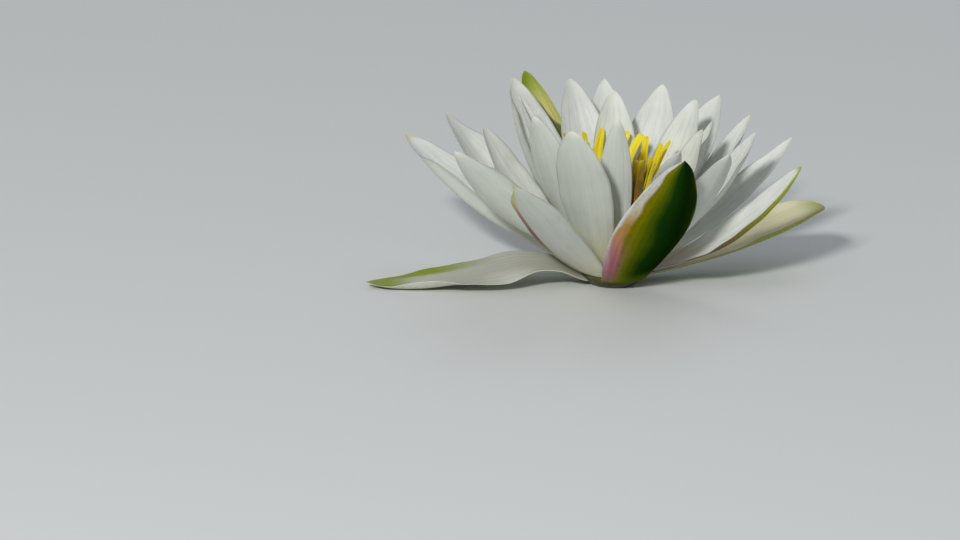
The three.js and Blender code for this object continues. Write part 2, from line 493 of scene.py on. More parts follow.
@dataclass
class FineBlade:
    """A blade's fine surface.

    Places along it, s, go from 0 at the root to 1 at the tip, and places across it, v, from 1 at the
    left margin to -1 at the right one.

    Attributes:
        spine: The stations that it follows.
        shape: How it departs from them.
    """

    spine: Spine
    shape: BladeShape

    def half_width(self, s: np.ndarray) -> np.ndarray:
        """Half the blade's width, rounded off at the tip.

        Args:
            s: Places along the blade.

        Returns:
            The half width at each.
        """
        spine, power = self.spine, self.shape.tip_round
        if self.shape.reach < 1:
            body = np.interp(s, spine.share[:-1], spine.half_width[:-1])
            return body * np.clip((1 - s) / CUT_TIP, 0, 1) ** power
        half = np.maximum(curve_through(spine.share, spine.half_width ** (1 / power), s), 0.0) ** power
        return half * (1 - self.shape.nib * np.exp(-(((1 - s) / NIB_LENGTH) ** 2)))

    def middle_line(self, s: np.ndarray) -> tuple[np.ndarray, np.ndarray, np.ndarray, np.ndarray]:
        """The blade's middle line, leaned, bowed and twisted.

        Args:
            s: Places along the blade.

        Returns:
            Its points, the unit directions across and inwards, and how the margins stand off it.
        """
        spine, shape = self.spine, self.shape
        used = s * shape.reach
        place = curve_through(spine.share, spine.place, used)
        across = unit(curve_through(spine.share, spine.across, used))
        margins = curve_through(spine.share, spine.bow, used)
        inward = unit(np.cross(unit(np.gradient(place, axis=0)), across))

        length = np.linalg.norm(np.diff(spine.place, axis=0), axis=1).sum()
        early = hump(s, *LIFTED)
        halfway = 4 * s * (1 - s)
        late = smooth(s, *LEANING) ** 2
        place = place + length * late[:, None] * (shape.nod * inward + shape.sway * across)
        place = place + length * halfway[:, None] * (shape.bulge * inward + shape.bow * across)
        place = place + length * shape.arch * early[:, None] * UP

        along = unit(np.gradient(place, axis=0))
        across = unit(across - along * (across * along).sum(axis=1, keepdims=True))
        inward = np.cross(along, across)
        cos, sin = math.cos(math.radians(shape.twist)), math.sin(math.radians(shape.twist))
        return place, across * cos + inward * sin, inward * cos - across * sin, margins

    def section(self, s: np.ndarray, v: np.ndarray) -> tuple[np.ndarray, np.ndarray]:
        """The blade's section with its turned and wavy margins, but without its channel.

        Args:
            s: Places along the blade.
            v: Places across it.

        Returns:
            How far out and how far up each point lies, in half widths, by place along and across.
        """
        shape = self.shape
        side = np.abs(v)
        turned = sum((turn.angles(s, v) for turn in shape.turns), np.zeros((len(s), len(v))))
        turned = (turned[:, 1:] + turned[:, :-1]) / 2
        factors = np.array(shape.widths)
        factors = curve_through(factors[:, 0], factors[:, 1:], s)
        width = np.where((v[1:] + v[:-1])[None] > 0, factors[:, :1], factors[:, 1:])
        sideways = summed_from_middle(np.diff(v) * width * np.cos(turned))
        upwards = summed_from_middle(np.diff(side) * width * np.sin(turned))
        rng = np.random.default_rng(shape.seed)
        for margin in Side:
            phase, drift = rng.uniform(0, FULL_TURN, 2)
            swell = np.sin(FULL_TURN * shape.waves * s + phase)
            swell = swell + 0.5 * np.sin(FULL_TURN * RIPPLE * shape.waves * s + drift)
            edge = np.where(v * margin.value > 0, side**WAVE_BREADTH, 0.0)
            upwards = upwards + shape.wave * (swell * smooth(s, *WAVY))[:, None] * edge[None]
        return sideways, upwards

    def middle_surface(self, s: np.ndarray, v: np.ndarray) -> tuple[np.ndarray, np.ndarray]:
        """The surface half way through the blade.

        Args:
            s: Places along the blade.
            v: Places across it.

        Returns:
            Its points and its unit normals, out of the inner face, by place along and across.
        """
        shape = self.shape
        place, across, inward, margins = self.middle_line(s)
        sideways, upwards = self.section(s, v)
        half = self.half_width(s)[:, None]
        side = np.abs(v)
        channel = np.hypot(side, KEEL_ROUNDING) ** shape.keel - KEEL_ROUNDING**shape.keel
        points = (
            place[:, None]
            + across[:, None] * (half * sideways)[..., None]
            + margins[:, None] * channel[None, :, None]
            + inward[:, None] * (half * upwards)[..., None]
        )
        rib = np.cos(math.pi * shape.ribs * v) * (1 - side**4)
        relief = shape.rib_height * hump(s, *RIBBED)[:, None] * rib[None]
        points = points + inward[:, None] * relief[..., None]
        d_along = np.gradient(points, axis=0)
        d_across = np.gradient(points, axis=1) * np.sign(v[-1] - v[0])
        d_across[-1] = d_across[-2]
        return points, unit(np.cross(d_along, d_across))

    def half_thickness(self, s: np.ndarray, v: np.ndarray) -> tuple[np.ndarray, np.ndarray]:
        """How far each face lies off the middle surface.

        Args:
            s: Places along the blade.
            v: Places across it.

        Returns:
            The distance to the inner face, with its pollen ridges, and to the outer one.
        """
        shape = self.shape
        girth = shape.thickness / 2 * (1 - TAPER * s)
        edge = np.sqrt(np.maximum(1 - v**2, 0.0)) ** MARGIN_FULLNESS
        half = girth[:, None] * edge[None] * (1 - smooth(s, *CLOSING))[:, None]
        ridge = np.exp(-(((np.abs(v) - RIDGE_PLACE) / RIDGE_BREADTH) ** 2)) * edge
        return half + shape.anther * hump(s, *POLLEN)[:, None] * ridge[None], half

    def mesh(self, name: str) -> bpy.types.Mesh:
        """Builds the closed surface.

        Args:
            name: The mesh's name.

        Returns:
            A smooth mesh that carries its place along, across and inner as attributes.
        """
        steps, strips, sink = self.shape.steps, self.shape.strips, self.shape.sink
        s = (1 - (1 - np.linspace(0, 1, steps + 1)) ** RING_CROWDING) * (1 + sink) - sink
        v = np.sin(np.linspace(math.pi / 2, -math.pi / 2, strips + 1))
        middle, normal = self.middle_surface(s, v)
        to_inner, to_outer = self.half_thickness(s, v)
        inner = middle + normal * to_inner[..., None]
        outer = middle - normal * to_outer[..., None]

        rings = np.concatenate([inner, outer[:, -2:0:-1]], axis=1)[:-1]
        around = rings.shape[1]
        points = np.vstack([rings.reshape(-1, 3), middle[-1, len(v) // 2]])
        faces = tube(len(rings), around)
        faces += fan((len(rings) - 1) * around, around, len(points) - 1)
        # The root is closed by faces from the inner half of its ring to the outer half.
        faces += [[0, around - 1, 1], [strips - 1, strips + 1, strips]]
        faces += [[j, (around - j) % around, around - j - 1, j + 1] for j in range(1, strips - 1)]

        across = np.concatenate([v, v[-2:0:-1]])
        inside = np.concatenate([np.ones(len(v)), np.zeros(len(v) - 2)])
        inside[[0, strips]] = 0.5
        return finished_mesh(
            name,
            points,
            faces,
            along=np.append(np.repeat(s[:-1], around), 1.0),
            across=np.append(np.tile(across, len(rings)), 0.0),
            inner=np.append(np.tile(inside, len(rings)), 0.5),
        )


def cover(node: str, shape: BladeShape, material: bpy.types.Material, slot: Slot) -> None:
    """Builds the fine blade that stands for one blade's plain solid.

    Args:
        node: The plain solid.
        shape: How the fine blade departs from it.
        material: Its finish.
        slot: The record's slot of that finish.
    """
    mesh = FineBlade(read_spine(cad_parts[node].data), shape).mesh(f"{node}_fine")
    add_piece(mesh, material, slot, node)


# ---- Shader nodes ----


@dataclass(frozen=True)
class Wire:
    """A number or colour that one node of a tree puts out. Sums with it lay further nodes.

    Attributes:
        bench: The bench on that tree.
        socket: The node's output.
    """

    bench: "Bench"
    socket: Socket

    def __add__(self, other: "Wire | float") -> "Wire":
        """The sum of both."""
        return self.bench.math("ADD", self, other)

    def __sub__(self, other: "Wire | float") -> "Wire":
        """This less the other."""
        return self.bench.math("SUBTRACT", self, other)

    def __rsub__(self, other: float) -> "Wire":
        """The other less this."""
        return self.bench.math("SUBTRACT", other, self)

    def __mul__(self, other: "Wire | float") -> "Wire":
        """The product of both."""
        return self.bench.math("MULTIPLY", self, other)

    def __rtruediv__(self, other: float) -> "Wire":
        """The other divided by this."""
        return self.bench.math("DIVIDE", other, self)

    def __pow__(self, other: "Wire | float") -> "Wire":
        """This to the power of the other."""
        return self.bench.math("POWER", self, other)

    def __abs__(self) -> "Wire":
        """This without its sign."""
        return self.bench.math("ABSOLUTE", self)

    def cosine(self) -> "Wire":
        """The cosine of this, in radians."""
        return self.bench.math("COSINE", self)

    def greatest(self, other: "Wire") -> "Wire":
        """The greater of both."""
        return self.bench.math("MAXIMUM", self, other)

    def rise(self, low: "Wire | float", high: "Wire | float", top: float = 1.0) -> "Wire":
        """A smooth rise from 0, where this is low, to top, where it is high."""
        inputs = {"Value": self, "From Min": low, "From Max": high, "To Max": top}
        return self.bench.wire("ShaderNodeMapRange", inputs, interpolation_type="SMOOTHSTEP")

    def fall(self, low: "Wire | float", high: "Wire | float") -> "Wire":
        """A smooth fall from 1, where this is low, to 0, where it is high."""
        return 1.0 - self.rise(low, high)

    def toward(self, colour: "Wire | str", share: "Wire") -> "Wire":
        """This colour, turned into another as the share goes from 0 to 1."""
        return self.bench.blend(share, self, colour)


class Bench:
    """Lays nodes in a tree and wires them."""

    def __init__(self, tree: bpy.types.NodeTree) -> None:
        """Sets up a bench on a material's or group's node tree."""
        self.tree = tree

    def feed(self, target: Socket, value: object) -> None:
        """Gives an input its value.

        Args:
            target: The input.
            value: A wire to it, a web colour, or a plain value.
        """
        if isinstance(value, Wire):
            self.tree.links.new(value.socket, target)
        else:
            target.default_value = paint(value) if isinstance(value, str) else value

    def add(self, kind: str, inputs: dict | None = None, **settings: object) -> bpy.types.Node:
        """Adds a node.

        Args:
            kind: The node's type.
            inputs: What its inputs take, by name or number.
            settings: Its own settings.

        Returns:
            The node.
        """
        made = self.tree.nodes.new(kind)
        for key, value in settings.items():
            setattr(made, key, value)
        for key, value in (inputs or {}).items():
            self.feed(made.inputs[key], value)
        return made

    def wire(
        self, kind: str, inputs: dict | None = None, output: int | str = 0, **settings: object
    ) -> Wire:
        """Adds a node as add does, and gives one of its outputs."""
        return Wire(self, self.add(kind, inputs, **settings).outputs[output])

    def math(self, operation: str, a: Wire | float, b: Wire | float = 0.0) -> Wire:
        """The result of a Math node on one or two values."""
        return self.wire("ShaderNodeMath", {0: a, 1: b}, operation=operation)

    def blend(self, share: Wire, a: Wire | str, b: Wire | str) -> Wire:
        """Colour a turning into colour b as the share goes from 0 to 1."""
        return self.wire("ShaderNodeMix", {0: share, 6: a, 7: b}, output=2, data_type="RGBA")

    def ramp(self, value: Wire, stops: Stops) -> Wire:
        """A colour ramp read at a value.

        Args:
            value: Where to read it.
            stops: Places and web colours, rising.

        Returns:
            The colour.
        """
        made = self.add("ShaderNodeValToRGB", {0: value})
        elements = made.color_ramp.elements
        while len(elements) < len(stops):
            elements.new(1.0)
        for element, (place, code) in zip(elements, stops):
            element.position = place
            element.color = paint(code)
        return Wire(self, made.outputs[0])

    def attribute(self, name: str) -> Wire:
        """A number that the mesh carries."""
        return self.wire("ShaderNodeAttribute", output="Fac", attribute_name=name)

    def use(self, group: bpy.types.NodeTree, **inputs: object) -> Wire:
        """Places a shared group and gives its output."""
        return self.wire("ShaderNodeGroup", {key.title(): inputs[key] for key in inputs}, node_tree=group)


class Group(Bench):
    """The nodes of a shared group that makes one mask."""

    def __init__(self, name: str, **usual: float | None) -> None:
        """Starts the group.

        Args:
            name: The group's name.
            usual: Its inputs by name, with their usual values, or with None for a vector.
        """
        super().__init__(bpy.data.node_groups.new(name, "ShaderNodeTree"))
        for key, value in usual.items():
            kind = "NodeSocketVector" if value is None else "NodeSocketFloat"
            socket = self.tree.interface.new_socket(key, in_out="INPUT", socket_type=kind)
            if value is not None:
                socket.default_value = value
        self.tree.interface.new_socket("Mask", in_out="OUTPUT", socket_type="NodeSocketFloat")
        source = self.add("NodeGroupInput")
        self.given = [Wire(self, source.outputs[key]) for key in usual]

    def giving(self, mask: Wire) -> bpy.types.NodeTree:
        """Puts the mask out and gives the finished group."""
        self.add("NodeGroupOutput", {"Mask": mask})
        return self.tree


class Effects:
    """The node groups that several finishes share, each built once."""

    def __init__(self) -> None:
        """Builds the groups."""
        self.veins = self.make_veins()
        self.mottle = self.make_mottle()
        self.margin = self.make_margin()

    @staticmethod
    def make_veins() -> bpy.types.NodeTree:
        """Builds lengthwise veins that wander a little and fade at both ends.

        Returns:
            The group.
        """
        group = Group("lengthwise_veins", Along=0.5, Across=0.0, Count=12.0, Fineness=3.0, Wander=0.04)
        along, across, count, fineness, wander = group.given
        place = group.wire("ShaderNodeCombineXYZ", {0: along * 3.0, 1: across * 1.6})
        noise = group.wire("ShaderNodeTexNoise", {"Vector": place, "Scale": 2.2, "Detail": 3.0})
        swing = ((across + (noise - 0.5) * wander) * count * math.pi).cosine()
        line = ((swing + 1.0) * 0.5) ** fineness
        fade = along.rise(0.0, 0.12) * along.fall(0.8, 1.0)
        return group.giving(line * fade * noise.rise(0.25, 0.6))

    @staticmethod
    def make_mottle() -> bpy.types.NodeTree:
        """Builds soft patches of a chosen size.

        Returns:
            The group.
        """
        group = Group("mottle", Vector=None, Size=0.004, Low=0.4, High=0.65, Detail=3.0)
        vector, size, low, high, detail = group.given
        inputs = {"Vector": vector, "Scale": 1.0 / size, "Detail": detail}
        return group.giving(group.wire("ShaderNodeTexNoise", inputs).rise(low, high))

    @staticmethod
    def make_margin() -> bpy.types.NodeTree:
        """Builds a band along one margin: Sign is 1 for the left one and -1 for the right one.

        Returns:
            The group.
        """
        group = Group("margin_band", Across=0.0, Sign=1.0, Reach=0.1, Softness=0.1)
        across, sign, reach, softness = group.given
        start = 1.0 - reach - softness
        return group.giving((across * sign).rise(start, start + softness))


class Surface(Bench):
    """The nodes of a material with one Principled shader."""

    def __init__(self, name: str, effects: Effects | None = None, **principled: object) -> None:
        """Starts the material.

        Args:
            name: The material's name.
            effects: The shared node groups, where it uses any.
            principled: Plain values for the shader's own sockets, with _ for a space.
        """
        self.material = bpy.data.materials.new(name)
        self.material.use_nodes = True
        super().__init__(self.material.node_tree)
        self.effects = effects
        self.shader = next(node for node in self.tree.nodes if node.type == "BSDF_PRINCIPLED")
        for key, value in principled.items():
            self.shader.inputs[key.replace("_", " ").title().replace("Ior", "IOR")].default_value = value
        self.place = self.wire("ShaderNodeTexCoord", output="Object")

    def patches(self, size: float, low: float, high: float, detail: float = 2.0) -> Wire:
        """Soft patches of a size, which begin at the noise's low value and are full at its high one."""
        given = {"vector": self.place, "size": size, "low": low, "high": high, "detail": detail}
        return self.use(self.effects.mottle, **given)

    def finished(
        self, colour: Wire, rough: Wire, height: Wire, strength: float, distance: float
    ) -> bpy.types.Material:
        """Wires the material's colour, roughness and fine relief.

        Args:
            colour: Its base colour.
            rough: Its roughness.
            height: Its relief, from 0 to 1.
            strength: How strongly the relief shows.
            distance: How high it is.

        Returns:
            The material.
        """
        bump = self.wire("ShaderNodeBump", {"Height": height, "Strength": strength, "Distance": distance})
        for key, value in {"Base Color": colour, "Roughness": rough, "Normal": bump}.items():
            self.feed(self.shader.inputs[key], value)
        return self.material


class BladeSurface(Surface):
    """The nodes of a blade's material, which know where on the blade a point is."""

    def __init__(self, name: str, effects: Effects, **principled: object) -> None:
        """Starts the material.

        Args:
            name: The material's name.
            effects: The shared node groups.
            principled: Plain values for the shader's own sockets, with _ for a space.
        """
        super().__init__(name, effects, **principled)
        self.along = self.attribute("along")
        self.across = self.attribute("across")
        self.inner = self.attribute("inner")

    def veins(self, count: float, fineness: float, wander: float) -> Wire:
        """Lengthwise veins: how many there are, how fine they are and how far they wander."""
        where = {"along": self.along, "across": self.across}
        return self.use(self.effects.veins, **where, count=count, fineness=fineness, wander=wander)

    def margin(self, side: Side, reach: Wire | float, softness: float, across: Wire) -> Wire:
        """A band that comes in from one margin."""
        given = {"across": across, "sign": side.value, "reach": reach, "softness": softness}
        return self.use(self.effects.margin, **given)

    def margins(self, left: float, right: float, softness: float, across: Wire) -> Wire:
        """Bands that come in from both margins, as far as left and right say."""
        from_left = self.margin(Side.LEFT, left, softness, across)
        return from_left.greatest(self.margin(Side.RIGHT, right, softness, across))


# ---- Finishes ----


@dataclass(frozen=True)
class PetalFinish:
    """White petal tissue: thin, faintly veined, creamy towards the root.

    Attributes:
        name: The material's name.
        face: Colour of the inner face.
        back: Colour of the outer face, greyer than the inner one: painted shade, so that turned margins
            show as darker strips.
        base: Colour near the root.
        vein: Colour of the veins.
        edge: Colour of painted shade along both margins, drawing dark outlines between the petals.
        edge_shade_share: How strong that painted shade is.
        tip: Colour of the very tip.
        tip_start: Where the tip's colour begins, along the petal.
        rim: The coloured margin's colours along the petal, or none.
        rim_side: Which margin that is.
        rim_reach: How far in it comes, as a share of the half width.
        rim_back: How much further in it comes on the outer face.
    """

    name: str
    face: str = "eceee9"
    back: str = "d0d3cb"
    base: str = "e6e2c4"
    vein: str = "b9c0bd"
    edge: str = "8d9285"
    edge_shade_share: float = 0.5
    tip: str = "e7e8da"
    tip_start: float = 0.93
    rim: Stops = ()
    rim_side: Side = Side.RIGHT
    rim_reach: float = 0.08
    rim_back: float = 0.1

    def material(self, effects: Effects) -> bpy.types.Material:
        """Builds the material.

        Args:
            effects: The shared node groups.

        Returns:
            The material.
        """
        surface = BladeSurface(
            self.name, effects, subsurface_weight=0.35, subsurface_radius=(1.0, 1.0, 0.85),
            subsurface_scale=0.6 * MM, specular_ior_level=0.4,
        )
        along, across, inner = surface.along, surface.across, surface.inner
        broad = surface.veins(count=4.6, fineness=1.4, wander=0.3)
        veins = surface.veins(count=13.0, fineness=2.2, wander=0.16)
        fine = surface.veins(count=29.0, fineness=1.5, wander=0.12)
        cloud = surface.patches(size=9 * MM, low=0.38, high=0.68)
        cells = surface.patches(size=0.35 * MM, low=0.3, high=0.7)
        # The outer face's greyer colour is painted shade, so that a turned margin shows as a darker
        # strip.
        colour = surface.blend(inner, self.back, self.face)
        colour = colour.toward(self.base, along.fall(0.0, 0.42))
        colour = colour.toward(self.vein, veins * 0.16 + fine * 0.09 + broad * 0.2)
        colour = colour.toward(self.vein, cloud * 0.22)
        # Painted shade: both margins are darkened, for the dark outlines where petals meet.
        thin = surface.margins(left=0.02, right=0.02, softness=0.08, across=across)
        colour = colour.toward(self.edge, thin * self.edge_shade_share)
        colour = colour.toward(self.tip, along.rise(self.tip_start, 1.0))
        if self.rim:
            reach = (1.0 - inner) * self.rim_back + self.rim_reach
            band = surface.margin(self.rim_side, reach, softness=0.12, across=across)
            colour = colour.toward(surface.ramp(along, self.rim), band * along.rise(0.04, 0.3))
        rough = cells.rise(-2.0, 2.0, top=0.9)
        height = fine * 0.75 + cells * 0.25
        return surface.finished(colour, rough, height, strength=0.35, distance=0.06 * MM)


@dataclass(frozen=True)
class SepalFinish:
    """Sepal tissue: glossy green and brown outside, pale with a green rim inside.

    Attributes:
        name: The material's name.
        back: The outer face's colours across, from the left margin at 0 to the right one at 1.
        skew: How far those move to the left from the root to the tip.
        band: The colours along the outer face of a band beside its right margin, or none.
        blush: Colour of the outer face's right margin near the root.
        blush_share: How strong that is.
        back_vein: Colour of the outer face's veins.
        speck: Colour of the outer face's specks.
        base_back: Colour near the root of the outer face.
        face: Colour of the inner face.
        base: Colour near its root.
        vein: Colour of its veins.
        rim: Colour of its margin and tip.
        left_rim: How far the rim comes in from the left margin.
        right_rim: How far the rim comes in from the right margin.
        rim_start: Where the rim begins to show, along the sepal.
        tip_start: Where the tip's colour begins, along the sepal.
        fold_shade: Colour of painted shade in a patch of the inner face at its left margin, standing for
            a rolled-in margin's dark outer side, or none.
        specular: How strongly it shines.
    """

    name: str
    back: Stops = (
        (0.0, "8d8a3a"), (0.12, "7d8a1e"), (0.35, "4d6a12"), (0.6, "2f4d0e"), (0.85, "33420e"),
        (1.0, "5c4a1c"),
    )
    skew: float = 0.0
    band: Stops = ()
    blush: str = "a5627a"
    blush_share: float = 0.0
    back_vein: str = "8a9030"
    speck: str = "3a2a12"
    base_back: str = "6d7a24"
    face: str = "e9e4c6"
    base: str = "e4dfc8"
    vein: str = "cdc69a"
    rim: str = "8fa12c"
    left_rim: float = 0.12
    right_rim: float = 0.12
    rim_start: float = 0.3
    tip_start: float = 0.9
    fold_shade: str = ""
    specular: float = 0.4

    def material(self, effects: Effects) -> bpy.types.Material:
        """Builds the material.

        Args:
            effects: The shared node groups.

        Returns:
            The material.
        """
        surface = BladeSurface(
            self.name, effects, subsurface_weight=0.12, subsurface_radius=(1.0, 1.0, 0.5),
            subsurface_scale=0.5 * MM, specular_ior_level=self.specular,
        )
        wander = surface.patches(size=12 * MM, low=0.2, high=0.8)
        shifted = surface.across + (wander - 0.5) * 0.16
        veins = surface.veins(count=15.0, fineness=2.0, wander=0.1)
        cells = surface.patches(size=0.5 * MM, low=0.3, high=0.7)
        back = self.outside(surface, shifted, veins)
        face = self.inside(surface, shifted, veins)
        colour = surface.blend(surface.inner, back, face)
        rough = (cells + surface.inner * 1.2).rise(-1.6, 2.4, top=0.62)
        height = veins * 0.7 + cells * 0.3
        return surface.finished(colour, rough, height, strength=0.3, distance=0.08 * MM)

    def outside(self, surface: BladeSurface, across: Wire, veins: Wire) -> Wire:
        """Mixes the outer face's colour.

        Args:
            surface: The material's nodes.
            across: The place across, shifted a little here and there.
            veins: Where the veins are.

        Returns:
            The colour.
        """
        along = surface.along
        from_left = (1.0 - across) * 0.5
        skewed = from_left + (along - 0.5) * self.skew
        colour = surface.ramp(skewed, self.back)
        if self.band:
            beside = skewed.fall(0.935, 0.985) * skewed.rise(0.83, 0.885)
            colour = colour.toward(surface.ramp(along, self.band), beside)
        edge = from_left.rise(0.7, 0.9) * self.blush_share
        colour = colour.toward(self.blush, along.fall(0.04, 0.5) * edge)
        colour = colour.toward(self.back_vein, veins * 0.15)
        specks = surface.patches(size=1.1 * MM, low=0.52, high=0.72, detail=3.0)
        colour = colour.toward(self.speck, specks * 0.22)
        return colour.toward(self.base_back, along.fall(0.0, 0.14) * 0.7)

    def inside(self, surface: BladeSurface, across: Wire, veins: Wire) -> Wire:
        """Mixes the inner face's colour.

        Args:
            surface: The material's nodes.
            across: The place across, shifted a little here and there.
            veins: Where the veins are.

        Returns:
            The colour.
        """
        along = surface.along
        colour = surface.blend(along.fall(0.0, 0.3), self.face, self.base)
        colour = colour.toward(self.vein, veins * 0.6)
        rim = surface.margins(self.left_rim, self.right_rim, softness=0.22, across=across)
        rim = rim * along.rise(self.rim_start - 0.1, self.rim_start + 0.25)
        rim = rim.greatest(along.rise(self.tip_start - 0.12, self.tip_start + 0.06))
        colour = colour.toward(self.rim, rim)
        # Painted shade: a dark olive patch low on the left margin, standing for a rolled-in margin's
        # shaded outer side.
        if self.fold_shade:
            slanted = across - along * 3.5
            fold_shade_mask = along.fall(0.8, 0.88) * slanted.rise(-3.45, -3.33)
            colour = colour.toward(self.fold_shade, fold_shade_mask * 0.9)
        return colour


@dataclass(frozen=True)
class StamenFinish:
    """Stamen tissue: a golden filament and a bright yellow, grainy anther.

    Attributes:
        name: The material's name.
        filament: Colour of the lower part.
        shade: Colour of painted shade on the outer face's lower part.
        blade: Colour of the upper part.
        turn: Where the filament turns into the anther, and where the outer face's painted shade ends.
        pollen: Colour of the pollen ridges.
        line: Colour of the lengthwise lines.
        patch: Colour of the soft patches.
    """

    name: str
    filament: str = "b09410"
    shade: str = "8a6c0c"
    blade: str = "fce40c"
    turn: float = 0.34
    pollen: str = "fae830"
    line: str = "cfb418"
    patch: str = "e2cc20"

    def material(self, effects: Effects) -> bpy.types.Material:
        """Builds the material.

        Args:
            effects: The shared node groups.

        Returns:
            The material.
        """
        surface = BladeSurface(
            self.name, effects, subsurface_weight=0.3, subsurface_radius=(1.0, 0.8, 0.15),
            subsurface_scale=0.6 * MM,
        )
        along, inner = surface.along, surface.inner
        grains = surface.patches(size=0.22 * MM, low=0.42, high=0.62)
        patches = surface.patches(size=2.5 * MM, low=0.4, high=0.7)
        lines = surface.veins(count=5.0, fineness=3.0, wander=0.1)
        side = abs(surface.across)
        anther = side.rise(0.2, 0.42) * side.fall(0.62, 0.88) * along.rise(*POLLEN[:2])
        colour = surface.blend(inner, self.shade, self.filament)
        colour = colour.toward(self.blade, along.rise(self.turn - 0.22, self.turn + 0.2))
        colour = colour.toward(self.pollen, anther * inner * grains)
        colour = colour.toward(self.line, lines * 0.35)
        colour = colour.toward(self.patch, patches * 0.25)
        rough = grains.rise(-1.5, 2.0, top=0.85)
        height = grains * 0.7 + lines * 0.3
        return surface.finished(colour, rough, height, strength=0.4, distance=0.06 * MM)


@dataclass(frozen=True)
class FleshFinish:
    """Firm plant flesh with patches and a fine grain, for the receptacle and the stigma disc.

    Attributes:
        name: The material's name.
        low: Colour at the bottom.
        high: Colour at the top.
        patch: Colour of the patches.
        bottom: Height where the low colour ends.
        top: Height where the high colour begins.
        cut: Colour of faces at the very bottom, where the flesh is cut.
    """

    name: str
    low: str
    high: str
    patch: str
    bottom: float
    top: float
    cut: str = "d5d6a0"

    def material(self, effects: Effects) -> bpy.types.Material:
        """Builds the material.

        Args:
            effects: The shared node groups.

        Returns:
            The material.
        """
        surface = Surface(
            self.name, effects, subsurface_weight=0.15, subsurface_radius=(1.0, 1.0, 0.4),
            subsurface_scale=0.8 * MM,
        )
        height = surface.wire("ShaderNodeSeparateXYZ", {0: surface.place}, output="Z")
        patches = surface.patches(size=1.8 * MM, low=0.42, high=0.66, detail=3.0)
        grain = surface.patches(size=0.3 * MM, low=0.3, high=0.7, detail=3.0)
        colour = surface.blend(height.rise(self.bottom, self.top), self.low, self.high)
        colour = colour.toward(self.patch, patches * 0.55)
        colour = colour.toward(self.cut, surface.attribute("cut"))
        rough = grain.rise(-1.5, 2.2, top=0.85)
        return surface.finished(colour, rough, grain, strength=0.4, distance=0.08 * MM)


# ---- The flower's parts ----


def both_wider(left: float, right: float) -> Widths:
    """Width factors that are the same all along a blade."""
    return ((0.0, left, right), (1.0, left, right))


